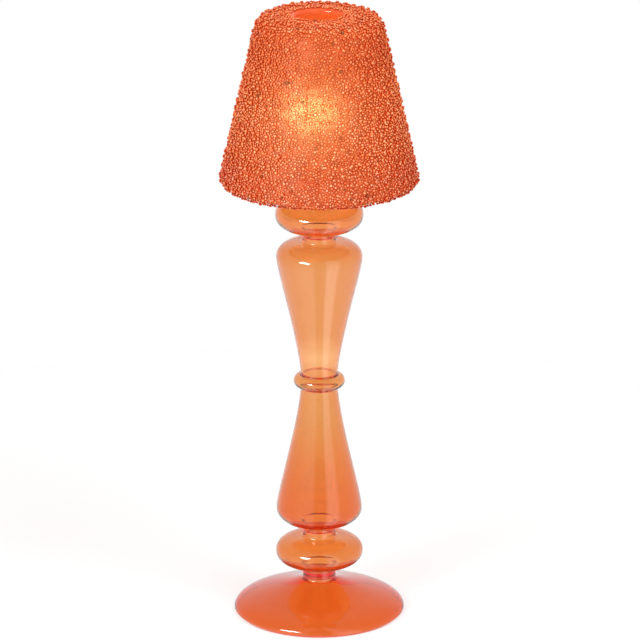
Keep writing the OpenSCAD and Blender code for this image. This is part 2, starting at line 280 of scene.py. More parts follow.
def blown_glass(name, skins, takes_green, takes_blue, haze=None):
    """Orange glass. Skins are (height, colour) pairs up the piece, for the tint of its surface.

    Green and blue are also taken with depth: by these powers of e for each metre. Haze is
    (low, high, share, colour): a matte share that grows between two heights.
    """
    mat = bpy.data.materials.new(name)
    mat.use_nodes = True
    tree = mat.node_tree
    tree.nodes.clear()
    out = add_node(tree, "ShaderNodeOutputMaterial")
    surface = add_node(tree, "ShaderNodeBsdfPrincipled",
                       {"Roughness": 0.0, "IOR": GLASS_IOR, "Transmission Weight": 1.0,
                        "Coat Weight": 1.0, "Coat Roughness": 0.06, "Coat IOR": 1.45})
    place = add_node(tree, "ShaderNodeTexCoord")
    waves = add_node(tree, "ShaderNodeTexNoise", {"Scale": 1 / WAVE_SIZE, "Detail": 1.0})
    bump = add_node(tree, "ShaderNodeBump", {"Strength": 0.5, "Distance": WAVE_DEPTH})
    stretch = add_node(tree, "ShaderNodeMapping", {"Scale": (1, 1, 0.12)})
    cords = add_node(tree, "ShaderNodeTexNoise", {"Scale": 260.0, "Detail": 2.0})
    streaks = colour_ramp(tree, [(0.3, (1, 0.965, 0.93, 1)), (0.6, (1, 1, 1, 1))])
    parts = add_node(tree, "ShaderNodeSeparateXYZ")
    low, high = skins[0][0], skins[-1][0]
    rise = add_node(tree, "ShaderNodeMapRange", {"From Min": low, "From Max": high})
    skin_tint = colour_ramp(tree, [((z - low) / (high - low), colour) for z, colour in skins])
    tint = add_node(tree, "ShaderNodeMix", data_type="RGBA", blend_type="MULTIPLY")
    tint.inputs[0].default_value = 1.0
    tree.links.new(place.outputs["Object"], waves.inputs["Vector"])
    tree.links.new(waves.outputs["Fac"], bump.inputs["Height"])
    tree.links.new(bump.outputs["Normal"], surface.inputs["Normal"])
    tree.links.new(place.outputs["Object"], stretch.inputs["Vector"])
    tree.links.new(stretch.outputs["Vector"], cords.inputs["Vector"])
    tree.links.new(cords.outputs["Fac"], streaks.inputs["Fac"])
    tree.links.new(place.outputs["Object"], parts.inputs[0])
    tree.links.new(parts.outputs["Z"], rise.inputs["Value"])
    tree.links.new(rise.outputs[0], skin_tint.inputs["Fac"])
    tree.links.new(skin_tint.outputs["Color"], tint.inputs[6])
    tree.links.new(streaks.outputs["Color"], tint.inputs[7])
    tree.links.new(tint.outputs[2], surface.inputs["Base Color"])
    seen = surface.outputs[0]
    if haze:
        starts, full, share, colour = haze
        grows = add_node(tree, "ShaderNodeMapRange", {"From Min": starts, "From Max": full, "To Max": share})
        matte = add_node(tree, "ShaderNodeBsdfDiffuse", {"Color": colour})
        hazy = add_node(tree, "ShaderNodeMixShader")
        tree.links.new(parts.outputs["Z"], grows.inputs["Value"])
        tree.links.new(grows.outputs[0], hazy.inputs["Fac"])
        tree.links.new(seen, hazy.inputs[1])
        tree.links.new(matte.outputs[0], hazy.inputs[2])
        seen = hazy.outputs[0]
    shadow_passes(tree, seen, GLASS_PASSES_LAMPS, out)
    depth = add_node(tree, "ShaderNodeVolumeAbsorption", {"Density": takes_blue})
    depth.inputs["Color"].default_value = (0.99, 1 - takes_green / takes_blue, 0, 1)
    tree.links.new(depth.outputs[0], out.inputs["Volume"])
    return mat


# (height, tint) up the candlestick: deepest at the foot, deeper at the bottom of the lower cone, palest at the ring, a
# little deeper again at the top
STEM_SKINS = [
    (0.000, (0.98, 0.39, 0.080, 1)),
    (0.016, (0.95, 0.39, 0.085, 1)),
    (0.022, (0.92, 0.73, 0.41, 1)),
    (0.045, (0.92, 0.73, 0.41, 1)),
    (0.055, (0.91, 0.55, 0.22, 1)),
    (0.075, (0.91, 0.61, 0.28, 1)),
    (0.110, (0.91, 0.80, 0.50, 1)),
    (0.136, (0.94, 0.81, 0.52, 1)),
    (0.142, (1.00, 0.98, 0.74, 1)),
    (0.150, (1.00, 0.98, 0.74, 1)),
    (0.156, (0.93, 0.79, 0.50, 1)),
    (0.205, (0.93, 0.79, 0.52, 1)),
    (0.245, (0.99, 0.78, 0.42, 1)),
    (0.270, (0.99, 0.78, 0.42, 1)),
]
orange_glass = blown_glass("orange_glass", STEM_SKINS, takes_green=260, takes_blue=430)
print("orange glass: 2 mm of it passes green", round(math.exp(-260 * 2 * MM), 3))

# %% [markdown]
# ## Turning an outline into a shape
#
# Blown glass is round, so every glass piece here is an outline turned about the upright axis.
# bmesh's spin does it from a chain of edges. An outline that starts and ends on the axis closes
# at its poles when the doubled corners are merged. A hollow inside the glass is a second shape
# with its faces turned round, because its outside is the air in the bubble.

# %% Outlines
TURN_STEPS = 120
CURVE_STEPS = 24


def curve(p, a, b, q):
    """A smooth curve from p to q that leaves along a and arrives from b."""
    points = []
    for i in range(CURVE_STEPS + 1):
        t = i / CURVE_STEPS
        u = 1 - t
        points.append(tuple(u**3 * p[k] + 3 * u * u * t * a[k] + 3 * u * t * t * b[k] + t**3 * q[k]
                            for k in (0, 1)))
    return points


def quarter(neck, widest, power):
    """A quarter of a belly, from the neck out to the widest place. Power 2 is an ellipse."""
    points = []
    for i in range(CURVE_STEPS + 1):
        a = math.pi / 2 * i / CURVE_STEPS
        points.append((neck[0] + (widest[0] - neck[0]) * math.sin(a) ** (2 / power),
                       widest[1] + (neck[1] - widest[1]) * max(math.cos(a), 0) ** (2 / power)))
    return points


def arc(middle, radius, start, end):
    """An arc round a middle, from one angle to another, in degrees."""
    points = []
    for i in range(CURVE_STEPS + 1):
        a = math.radians(start + (end - start) * i / CURVE_STEPS)
        points.append((middle[0] + radius * math.cos(a), middle[1] + radius * math.sin(a)))
    return points


def turned(outline, hollow=False, closed=False):
    """A bmesh of the outline [(radius, height), ...] turned about the axis. A hollow faces inwards."""
    bm = bmesh.new()
    corners = [bm.verts.new((r, 0, z)) for r, z in outline]
    pairs = list(zip(corners, corners[1:]))
    if closed:
        pairs.append((corners[-1], corners[0]))
    edges = [bm.edges.new(pair) for pair in pairs]
    bmesh.ops.spin(bm, geom=corners + edges, cent=(0, 0, 0), axis=(0, 0, 1),
                   angle=2 * math.pi, steps=TURN_STEPS, use_merge=True)
    bmesh.ops.remove_doubles(bm, verts=bm.verts, dist=1e-6)
    bmesh.ops.recalc_face_normals(bm, faces=bm.faces)
    if hollow:
        bmesh.ops.reverse_faces(bm, faces=bm.faces)
    return bm


def joined(shapes):
    """One bmesh that holds several."""
    whole = bmesh.new()
    for bm in shapes:
        part = bpy.data.meshes.new("part")
        bm.to_mesh(part)
        bm.free()
        whole.from_mesh(part)
        bpy.data.meshes.remove(part)
    return whole


def make_piece(name, bm, material, body, stands_for=(), sharp=40):
    """Makes a bmesh a smooth piece that rides on a body. Edges over the sharp angle stay sharp."""
    mesh = bpy.data.meshes.new(name)
    bm.to_mesh(mesh)
    bm.free()
    mesh.shade_smooth()
    mesh.set_sharp_from_angle(angle=math.radians(sharp))
    mesh.materials.append(material)
    piece = bpy.data.objects.new(name, mesh)
    scene.collection.objects.link(piece)
    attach(piece, body)
    if stands_for:
        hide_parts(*stands_for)
    print(name, "has", len(mesh.polygons), "faces")
    return piece


# %% [markdown]
# ## The candlestick
#
# The real candlestick is blown in seven parts that are joined while they are hot: foot, knop,
# cone, ring, cone, knop and dish. Once joined, they are one body of glass with sealed bubbles
# of air inside. If each part had its own closed surface, light would cross two faces at every
# seam and the seams would look like cracks. So one piece stands for the seven CAD nodes: an
# outer skin, and a hollow for each bubble. The heights of the seams come from the CAD nodes.

# %% Sizes of the candlestick
NECK_R = 9.2 * MM
WAIST_R = 10.2 * MM
BUBBLE_WALL = 1.2 * MM
NECK_WALL = 1.5 * MM
SEAM_WALL = 0.35 * MM
RING_WALL = 0.9 * MM
EASE = 1.5 * MM
INNER_EASE = 3 * MM
CREASE = 0.8 * MM
EASE_STEPS = 8
SHARP = math.radians(35)
RING_STUB = 2 * MM
BELLY_POWER = 2.3
LOWER_NECK = 4.1 * MM
UPPER_NECK = 3.3 * MM
CONE_BOWL = 9.2 * MM
CONE_TOP = 8.9 * MM
BELLY_PULL = 7 * MM
WAIST_PULL = 14 * MM

foot_r, seam_1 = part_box("foot")[1].x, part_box("foot")[1].z
knop_r, seam_2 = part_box("lower_knop")[1].x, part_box("lower_knop")[1].z
cone_r, ring_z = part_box("lower_cone")[1].x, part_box("lower_cone")[1].z
ring_r, ring_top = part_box("centre_ring")[1].x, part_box("centre_ring")[1].z
seam_3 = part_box("upper_cone")[1].z
seam_4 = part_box("upper_knop")[1].z
print("seams at", [round(z / MM, 1) for z in (seam_1, seam_2, ring_z, ring_top, seam_3, seam_4)], "mm")


# %% Outlines of the bubbles
def bore(inset):
    """The radius of the necks and of the waist: outside for inset 0, else inside."""
    return (NECK_R - NECK_WALL, WAIST_R - BUBBLE_WALL) if inset else (NECK_R, WAIST_R)


def eased(line, reach):
    """The line with its sharp corners rounded, from that far before each corner to that far after it."""
    along = np.append(0, np.cumsum([math.dist(p, q) for p, q in zip(line, line[1:])]))

    def at(length):
        return [np.interp(length, along, [p[k] for p in line]) for k in (0, 1)]

    def bend(i):
        into = Vector(line[i]) - Vector(line[i - 1])
        return into.angle(Vector(line[i + 1]) - Vector(line[i]))

    corners = [i for i in range(1, len(line) - 1) if bend(i) > SHARP]
    marks = [(s, p) for s, p in zip(along, line) if all(abs(s - along[i]) > reach for i in corners)]
    for i in corners:
        start, end = at(along[i] - reach), at(along[i] + reach)
        for k in range(EASE_STEPS + 1):
            u = k / EASE_STEPS
            point = [(1 - u)**2 * start[n] + 2 * u * (1 - u) * line[i][n] + u * u * end[n] for n in (0, 1)]
            marks.append((along[i] + (2 * u - 1) * reach, tuple(point)))
    return [point for _, point in sorted(marks)]


def knop_line(low, high, neck, inset, cap):
    """A flattened knop between two seams. Inset 0 is the outside, and the wall's inset the inside."""
    r, middle = NECK_R - (NECK_WALL if inset else 0), (low + high) / 2
    half = (high - low) / 2 - neck - inset
    widest = (knop_r - inset, middle)
    lower = quarter((r, middle - half), widest, BELLY_POWER)
    upper = quarter((r, middle + half), widest, BELLY_POWER)[::-1]
    return [(r, low + cap)] + lower + upper[1:] + [(r, high - cap)]


def lower_cone_line(inset, cap):
    """A rounded bowl that tapers up to the waist."""
    widest = (cone_r - inset, seam_2 + LOWER_NECK + CONE_BOWL)
    neck, waist = bore(inset)
    bowl = quarter((neck, seam_2 + LOWER_NECK + inset), widest, BELLY_POWER)
    taper = curve(widest, (widest[0], widest[1] + BELLY_PULL),
                  (waist, ring_z - WAIST_PULL), (waist, ring_z - cap))
    return [(neck, seam_2 + cap)] + bowl + taper[1:]


def upper_cone_line(inset, cap):
    """It opens from the waist and rounds over to the neck."""
    widest = (cone_r - inset, seam_3 - UPPER_NECK - CONE_TOP)
    neck, waist = bore(inset)
    taper = curve((waist, ring_top + cap), (waist, ring_top + WAIST_PULL),
                  (widest[0], widest[1] - BELLY_PULL), widest)
    top = quarter((neck, seam_3 - UPPER_NECK - inset), widest, BELLY_POWER)[::-1]
    return taper + top[1:] + [(neck, seam_3 - cap)]


def bubble(low, high, line):
    """The hollow of a bubble, closed on the axis a little inside each seam."""
    return turned([(0, low + SEAM_WALL)] + eased(line, INNER_EASE) + [(0, high - SEAM_WALL)], hollow=True)


# %% Outline of the foot
FOOT_WALL = 2.0 * MM
EDGE_H = 1.4 * MM
DOME_H = 18.2 * MM
DOME_SWELL = 8.4 * MM
DOME_SWEEP = (12 * MM, 11.3 * MM)
STAND_R = foot_r - 1 * MM


def dome(inset):
    """The dome of the foot, from its edge up to its neck."""
    edge = foot_r - inset
    return curve((edge, max(EDGE_H - inset, 0)), (edge, DOME_SWELL - inset),
                 (NECK_R + DOME_SWEEP[0] - inset, DOME_SWEEP[1] - inset), (NECK_R - inset, DOME_H - inset))


hollow_top = seam_1 - FOOT_WALL
underside = [(0, hollow_top), (NECK_R - FOOT_WALL - 2 * MM, hollow_top)]
underside += arc((NECK_R - FOOT_WALL - 2 * MM, hollow_top - 2 * MM), 2 * MM, 90, 0)
foot_line = underside + dome(FOOT_WALL)[::-1] + [(STAND_R, 0)]

# %% Outline of the dish
DISH_WALL = 2.2 * MM
WELL_CORNER = 1 * MM
WELL_DEPTH = 7 * MM
WELL_GAP = 1.2 * MM
TEA_REST = 0.2 * MM
FOIL_ROLL = 0.6 * MM
WING_PULL = (12 * MM, 2.5 * MM)
SEAT_H = 3 * MM

dish_r, rim_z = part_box("candle_dish")[1].x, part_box("candle_dish")[1].z
well_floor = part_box("candle_cup")[0].z - TEA_REST
cup_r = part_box("candle_cup")[1].x - FOIL_ROLL
well_z, well_r = well_floor + WELL_DEPTH, cup_r + WELL_GAP
SHADE_SLOPE = math.radians(12.65)
seat_low = (dish_r, rim_z - SEAT_H)
seat_high = (dish_r - SEAT_H * math.tan(SHADE_SLOPE), rim_z)
neck_top, well_out = seam_4 + UPPER_NECK, well_r + DISH_WALL

dish_line = curve((NECK_R, neck_top), (NECK_R, neck_top + DISH_WALL),
                  (well_out, well_floor - 2 * DISH_WALL), (well_out, well_floor))
dish_line += curve((well_out, well_z - DISH_WALL), (well_out + 2 * DISH_WALL, well_z - DISH_WALL),
                   (seat_low[0] - WING_PULL[0], seat_low[1] - WING_PULL[1]), seat_low)
dish_line += [seat_high, (seat_high[0] - DISH_WALL, rim_z)]
dish_line += curve((seat_high[0] - DISH_WALL - WELL_CORNER, rim_z - WELL_CORNER),
                   (seat_low[0] - WING_PULL[0], seat_low[1] - WING_PULL[1] + DISH_WALL),
                   (well_out + 2 * DISH_WALL, well_z), (well_r + WELL_CORNER, well_z))
dish_line += arc((well_r + WELL_CORNER, well_z - WELL_CORNER), WELL_CORNER, 90, 180)
dish_line += arc((well_r - WELL_CORNER, well_floor + WELL_CORNER), WELL_CORNER, 0, -90)
dish_line += [(0, well_floor)]
dish_hollow = [(0, seam_4 + SEAM_WALL), (NECK_R - NECK_WALL, seam_4 + SEAM_WALL),
               (NECK_R - NECK_WALL, well_floor - DISH_WALL), (0, well_floor - DISH_WALL)]

# %% The candlestick's glass
ring_middle = (WAIST_R, (ring_z + ring_top) / 2)
RING_SWELL = 0.9
ring_line = [(ring_middle[0] + (ring_r - WAIST_R) * math.cos(math.radians(a)),
              ring_middle[1] + RING_SWELL * (ring_top - ring_z) / 2 * math.sin(math.radians(a)))
             for a in range(-90, 91, 6)]
below_ring = dome(0) + knop_line(seam_1, seam_2, LOWER_NECK, 0, 0)[1:-1] + lower_cone_line(0, 0)[1:]
above_ring = upper_cone_line(0, 0) + knop_line(seam_3, seam_4, UPPER_NECK, 0, 0)[1:-1]
stem_line = eased([p for p in below_ring if p[1] < ring_z - RING_STUB], EASE)
stem_line += eased([(WAIST_R, ring_z - RING_STUB)] + ring_line + [(WAIST_R, ring_top + RING_STUB)], CREASE)
stem_line += eased([p for p in above_ring if p[1] > ring_top + RING_STUB], EASE)
skin_line = foot_line + stem_line + dish_line
ring_in, ring_out = WAIST_R - BUBBLE_WALL, ring_r - RING_WALL
ring_bubble = [(0, ring_z + SEAM_WALL), (ring_in, ring_z + SEAM_WALL)]
ring_bubble += [(ring_in + (ring_out - ring_in) * math.cos(math.radians(a)),
                 ring_middle[1] + (RING_SWELL * (ring_top - ring_z) / 2 - RING_WALL) * math.sin(math.radians(a)))
                for a in range(-90, 91, 6)]
ring_bubble += [(ring_in, ring_top - SEAM_WALL), (0, ring_top - SEAM_WALL)]
stem_glass = joined([
    turned(skin_line),
    turned(ring_bubble, hollow=True),
    bubble(seam_1, seam_2, knop_line(seam_1, seam_2, LOWER_NECK, BUBBLE_WALL, SEAM_WALL)),
    bubble(seam_2, ring_z, lower_cone_line(BUBBLE_WALL, SEAM_WALL)),
    bubble(ring_top, seam_3, upper_cone_line(BUBBLE_WALL, SEAM_WALL)),
    bubble(seam_3, seam_4, knop_line(seam_3, seam_4, UPPER_NECK, BUBBLE_WALL, SEAM_WALL)),
    turned(dish_hollow, hollow=True),
])

# %% [markdown]
# A lathe makes a shape too perfect for blown glass. Moving each corner in or out by a tenth of a
# millimetre of slow noise makes the reflections swim a little, as they do on the real thing. The
# foot and the dish stay true, because they stand on the table and carry the shade.

# %% Hand-blown waver
WAVER = 0.22 * MM
WAVER_SIZE = 26 * MM

for v in stem_glass.verts:
    if seam_1 < v.co.z < seam_4:
        fade = min(v.co.z - seam_1, seam_4 - v.co.z, 10 * MM) / (10 * MM)
        push = 1 + WAVER * fade * noise.noise(v.co / WAVER_SIZE) / max(math.hypot(v.co.x, v.co.y), 5 * MM)
        v.co.x *= push
        v.co.y *= push
make_piece("candlestick_glass", stem_glass, orange_glass, "candlestick",
           ["foot", "lower_knop", "lower_cone", "centre_ring", "upper_cone", "upper_knop", "candle_dish"])

# %% [markdown]
# ## The shade's glass
#
# Under the beads is a blown cone with a rounded shoulder and a rolled lip round its hole. The
# bead coat hides it from outside, but it shows through the hole, and from below.

# %% Shade glass
SHADE_WALL = 2 * MM
SHADE_R = 52.3 * MM
SHADE_H = 91 * MM
SHOULDER = 8 * MM
VENT_R = 13 * MM
LIP = 1.6 * MM

shade_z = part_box("shade_glass")[0].z
shoulder_z = SHADE_H - SHOULDER
shoulder_x = SHADE_R - shoulder_z * math.tan(SHADE_SLOPE) - SHOULDER / math.cos(SHADE_SLOPE)
slope_deg = math.degrees(SHADE_SLOPE)


def skin(offset, low, end_r):
    """The outer face of the shade moved out by an offset, from a height to a radius on its top."""
    points = [(SHADE_R - low * math.tan(SHADE_SLOPE) + offset / math.cos(SHADE_SLOPE), shade_z + low)]
    points += arc((shoulder_x, shade_z + shoulder_z), SHOULDER + offset, slope_deg, 90)
    return points + [(end_r, shade_z + SHADE_H + offset)]


edge_z = SHADE_WALL / 2
edge_x = SHADE_R - edge_z * math.tan(SHADE_SLOPE) - SHADE_WALL / 2 / math.cos(SHADE_SLOPE)
lip_middle = (VENT_R + LIP, shade_z + SHADE_H - SHADE_WALL + LIP)
shade_line = skin(0, edge_z, VENT_R + LIP)[:-1]
shade_line += arc(lip_middle, LIP, 75, 270)
shade_line += skin(-SHADE_WALL, edge_z, VENT_R + LIP)[:-1][::-1]
shade_line += arc((edge_x, shade_z + edge_z), SHADE_WALL / 2, slope_deg + 180, slope_deg + 360)
SHADE_SKIN = (1.0, 0.86, 0.68, 1)
SHADE_HAZE = (shade_z + 66 * MM, shade_z + 90 * MM, 0.40, (1.0, 0.20, 0.07, 1))
shade_blown = blown_glass("shade_orange_glass", [(0.24, SHADE_SKIN), (0.35, SHADE_SKIN)],
                          takes_green=40, takes_blue=90, haze=SHADE_HAZE)
make_piece("shade_blown_glass", turned(shade_line, closed=True), shade_blown, "shade",
           ["shade_glass"])

# %% [markdown]
# ## The bead coat
#
# The coat is thousands of small glass beads in glue. The largest stand out, and are the CAD
# model's own beads. A CAD bead is an exact ball with about a thousand triangles, so here each is
# read back as a middle and a radius, and gets a ball of a few dozen faces. In the mesh the
# corners of each bead follow one another, so a bead ends where no triangle reaches further.


# %% Read the standing beads
def standing_beads(node):
    """The middle and radius of each bead in a CAD node."""
    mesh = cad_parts[node].data
    corners = np.empty(len(mesh.vertices) * 3)
    mesh.vertices.foreach_get("co", corners)
    corners = corners.reshape(-1, 3)
    triangles = np.empty(len(mesh.loops), int)
    mesh.loops.foreach_get("vertex_index", triangles)
    triangles = triangles.reshape(-1, 3)
    triangles = triangles[np.argsort(triangles.min(1), kind="stable")]
    reach = np.maximum.accumulate(triangles.max(1))
    starts = np.append(0, triangles.min(1)[1:][triangles.min(1)[1:] > reach[:-1]])
    low = np.minimum.reduceat(corners, starts)
    high = np.maximum.reduceat(corners, starts)
    return (low + high) / 2, (high - low).mean(1) / 2


BANDS = ["lower", "middle", "upper", "shoulder"]
large = {band: standing_beads("beads_" + band) for band in BANDS}
print("standing beads:", {band: len(large[band][1]) for band in BANDS})

# %% [markdown]
# The fine beads lie on a skin that follows the shade from under its lower edge up to the lip.
# Geometry Nodes scatters far too many places over it with Distribute Points on Faces.

# %% The skin that takes the fine beads
BED = 0.6 * MM
SPOT_GAP = 0.5 * MM
SPOT_SEED = 7
COAT_END = 16.0 * MM
COAT_OVER_LIP = 0.1 * MM
BARE_LEFT = 2.5 * MM

coat_line = arc((edge_x, shade_z + edge_z), SHADE_WALL / 2 + BED / 2, slope_deg - 100, slope_deg - 4)
coat_line += skin(BED, edge_z + 1 * MM, COAT_END)[:-1]
coat_line += arc(lip_middle, LIP + COAT_OVER_LIP, 36, 120)
coat_bm = turned(coat_line)
coat_mesh = bpy.data.meshes.new("coat_skin")
coat_bm.to_mesh(coat_mesh)
coat_bm.free()
coat_skin = bpy.data.objects.new("coat_skin", coat_mesh)
scene.collection.objects.link(coat_skin)


# %% Scatter the fine beads
def new_geometry_group(name):
    """An empty Geometry Nodes group with one geometry in and one out."""
    group = bpy.data.node_groups.new(name, "GeometryNodeTree")
    group.interface.new_socket("Geometry", in_out="INPUT", socket_type="NodeSocketGeometry")
    group.interface.new_socket("Geometry", in_out="OUTPUT", socket_type="NodeSocketGeometry")
    return group, add_node(group, "NodeGroupInput"), add_node(group, "NodeGroupOutput")


def store(group, geometry, name, value):
    """Keeps a value on each point under a name."""
    made = add_node(group, "GeometryNodeStoreNamedAttribute", {"Name": name}, data_type="FLOAT", domain="POINT")
    group.links.new(geometry, made.inputs["Geometry"])
    group.links.new(value, made.inputs["Value"])
    return made.outputs[0]


scatter, start, end = new_geometry_group("scatter_beads")
spread = add_node(scatter, "GeometryNodeDistributePointsOnFaces",
                  {"Distance Min": SPOT_GAP, "Density Max": 16e6, "Seed": SPOT_SEED},
                  distribute_method="POISSON")
corners = add_node(scatter, "GeometryNodePointsToVertices")
scatter.links.new(start.outputs[0], spread.inputs["Mesh"])
scatter.links.new(spread.outputs["Points"], corners.inputs[0])
scatter.links.new(corners.outputs[0], end.inputs[0])


def applied(obj, group):
    """The mesh that a Geometry Nodes group makes of an object."""
    modifier = obj.modifiers.new("nodes", "NODES")
    modifier.node_group = group
    made = bpy.data.meshes.new_from_object(obj.evaluated_get(bpy.context.evaluated_depsgraph_get()))
    obj.modifiers.remove(modifier)
    return made


spots = applied(coat_skin, scatter)
places = [v.co.copy() for v in spots.vertices]
bpy.data.objects.remove(coat_skin)
print("places for fine beads:", len(places))

# %% [markdown]
# Beads of mixed sizes are then put on these places one by one, in random order. A bead stays
# only if it is clear of the standing beads and hardly cuts into the beads that are there. So
# the late small ones end up in the gaps between the early large ones, as in a real coat. Round
# the lip the coat ends in an uneven edge, with more bare glass on the left than on the right.

# %% Choose the fine beads
FINE_SIZES = (0.60 * MM, 1.02 * MM)
FINE_SKEW = 1.6
FINE_SINK = 0.42
FINE_NEAR = 0.82
CELL = 2 * FINE_SIZES[1]

large_co = np.concatenate([large[band][0] for band in BANDS])
large_r = np.concatenate([large[band][1] for band in BANDS])
tree_of_large = kdtree.KDTree(len(large_r))
for i, co in enumerate(large_co):
    tree_of_large.insert(co, i)
tree_of_large.balance()
shuffle = random.Random(3)
cells = {}


def has_room(co, r):
    """True if a fine bead is clear of the standing ones and behind the coat's uneven edge."""
    _, i, gap = tree_of_large.find(co)
    out = math.hypot(co.x, co.y)
    leftwards = max(0, -co.x / out)
    bare = VENT_R + 0.6 * MM + BARE_LEFT * leftwards**3 + 1.2 * MM * noise.noise(co / (5 * MM))
    return gap > large_r[i] + 0.4 * r and (out > bare or co.z < shade_z + SHADE_H - SHOULDER)


def is_free(co, r):
    """True if no fine bead is too near. If so, the bead is also noted in its cell."""
    x, y, z = (math.floor(c / CELL) for c in co)
    for cell in ((x + i, y + j, z + k) for i in (-1, 0, 1) for j in (-1, 0, 1) for k in (-1, 0, 1)):
        for other, other_r in cells.get(cell, ()):
            if (co - other).length < FINE_NEAR * (r + other_r):
                return False
    cells.setdefault((x, y, z), []).append((co, r))
    return True


def outwards(middle):
    """The way out of the shade at a bead."""
    r, z = math.hypot(middle[0], middle[1]), middle[2] - shade_z
    if z < edge_z:
        way = Vector((r - edge_x, z - edge_z))
    elif r < lip_middle[0]:
        way = Vector((r - lip_middle[0], z + shade_z - lip_middle[1]))
    else:
        way = Vector((max(r - shoulder_x, 0), max(z - shoulder_z, 0)))
        if way.length == 0 or math.atan2(way.y, way.x) < SHADE_SLOPE:
            way = Vector((math.cos(SHADE_SLOPE), math.sin(SHADE_SLOPE)))
    way.normalize()
    return Vector((way.x * middle[0] / r, way.x * middle[1] / r, way.y))


shuffle.shuffle(places)
fine = []
for co in places:
    r = FINE_SIZES[0] + (FINE_SIZES[1] - FINE_SIZES[0]) * shuffle.random()**FINE_SKEW
    if has_room(co, r) and is_free(co, r):
        fine.append((*(co + outwards(co) * r * (1 - FINE_SINK)), r, shuffle.random()))
fine = np.array(fine)
fine_co, fine_r, fine_tone = fine[:, :3], fine[:, 3], fine[:, 4]
print("fine beads:", len(fine_r))

# %% [markdown]
# ## Bead glass
#
# Each bead is a little ball of pale glass. A sharp coat mirrors the softboxes as a glint, and a
# little rough transmission lets light through. Its bright dot in the middle is a painted highlight,
# and its dark rim is painted shade, both set by the ball's own height from its girth. The light
# that crosses it is painted brightest in its middle too. The colour differs from bead to bead: most
# are orange to salmon, some nearly clear, and a few dark. Shadow rays pass in part, so the flame
# lights the beads from inside.

# %% Bead material
BEAD_TONES = [
    (0.000, (0.04, 0.01, 0.012, 1)),
    (0.006, (0.45, 0.07, 0.03, 1)),
    (0.080, (0.95, 0.34, 0.16, 1)),
    (0.400, (1.00, 0.64, 0.45, 1)),
    (0.800, (1.00, 0.84, 0.66, 1)),
    (1.000, (1.00, 0.98, 0.88, 1)),
]
# Painted light on each bead, by its height from its girth: a painted highlight in its middle and painted shade at its
# rim
BEAD_PAINTED_DOT_AND_RIM_SHADE = [
    (0.00, (0.42, 0.040, 0.010, 1)),
    (0.50, (0.70, 0.090, 0.027, 1)),
    (0.70, (0.95, 0.23, 0.090, 1)),
    (0.866, (0.99, 0.47, 0.27, 1)),
    (0.91, (1.00, 0.78, 0.58, 1)),
    (0.95, (1.00, 1.00, 1.00, 1)),
]
BEAD_PASSES_LAMPS = (0.97, 0.88, 0.76, 1)
BEAD_MILKY = 0.45
# Painted lens glow: the light that crosses a bead is painted brightest in its middle, over a wider spot than its dot
BEAD_PAINTED_LENS_GLOW = [
    (0.00, (0.30, 0.08, 0.02, 1)),
    (0.50, (0.50, 0.17, 0.055, 1)),
    (0.70, (0.80, 0.43, 0.19, 1)),
    (0.866, (1.00, 0.81, 0.50, 1)),
    (0.95, (1.00, 1.00, 0.80, 1)),
]


def bead_glass():
    mat = bpy.data.materials.new("bead_glass")
    mat.use_nodes = True
    tree = mat.node_tree
    tree.nodes.clear()
    out = add_node(tree, "ShaderNodeOutputMaterial")
    tone = add_node(tree, "ShaderNodeAttribute", attribute_name="tone")
    colours = colour_ramp(tree, BEAD_TONES)
    surface = add_node(tree, "ShaderNodeBsdfPrincipled",
                       {"Roughness": 0.4, "IOR": 1.28, "Transmission Weight": 0.2,
                        "Coat Weight": 0.6, "Coat Roughness": 0.06})
    behind = add_node(tree, "ShaderNodeBsdfTranslucent")
    body = add_node(tree, "ShaderNodeMixShader", {"Fac": BEAD_MILKY})
    rise = add_node(tree, "ShaderNodeAttribute", attribute_name="rise")
    from_girth = add_node(tree, "ShaderNodeMath", operation="ABSOLUTE")
    # Painted highlight at each ball's pole and painted shade at its girth
    painted_dot_and_rim_shade = colour_ramp(tree, BEAD_PAINTED_DOT_AND_RIM_SHADE)
    # Painted lens glow: the translucent colour is brightest at each ball's middle
    lens = colour_ramp(tree, BEAD_PAINTED_LENS_GLOW)
    tint = add_node(tree, "ShaderNodeMix", data_type="RGBA", blend_type="MULTIPLY")
    tint.inputs[0].default_value = 1.0
    tree.links.new(tone.outputs["Fac"], colours.inputs["Fac"])
    tree.links.new(rise.outputs["Fac"], from_girth.inputs[0])
    tree.links.new(from_girth.outputs[0], painted_dot_and_rim_shade.inputs["Fac"])
    tree.links.new(colours.outputs["Color"], tint.inputs[6])
    tree.links.new(painted_dot_and_rim_shade.outputs["Color"], tint.inputs[7])
    tree.links.new(tint.outputs[2], surface.inputs["Base Color"])
    tree.links.new(from_girth.outputs[0], lens.inputs["Fac"])
    tree.links.new(lens.outputs["Color"], behind.inputs["Color"])
    tree.links.new(surface.outputs[0], body.inputs[1])
    tree.links.new(behind.outputs[0], body.inputs[2])
    shadow_passes(tree, body.outputs[0], BEAD_PASSES_LAMPS, out)
    return mat


# %% Set the beads
BALL_SEGMENTS = 8
BALL_RINGS = 6
SECTORS = 8
PATCH_SIZE = 4 * MM
PATCH_DEPTH = 0.6
DARK_SHARE = 0.006
FAINTEST = 0.06
# The coat is redder below the shoulder, and paler on top: (height, change of tone)
TONE_TREND = [(0.290, 0.0), (0.318, -0.45), (0.335, -0.45), (0.339, 0.1)]

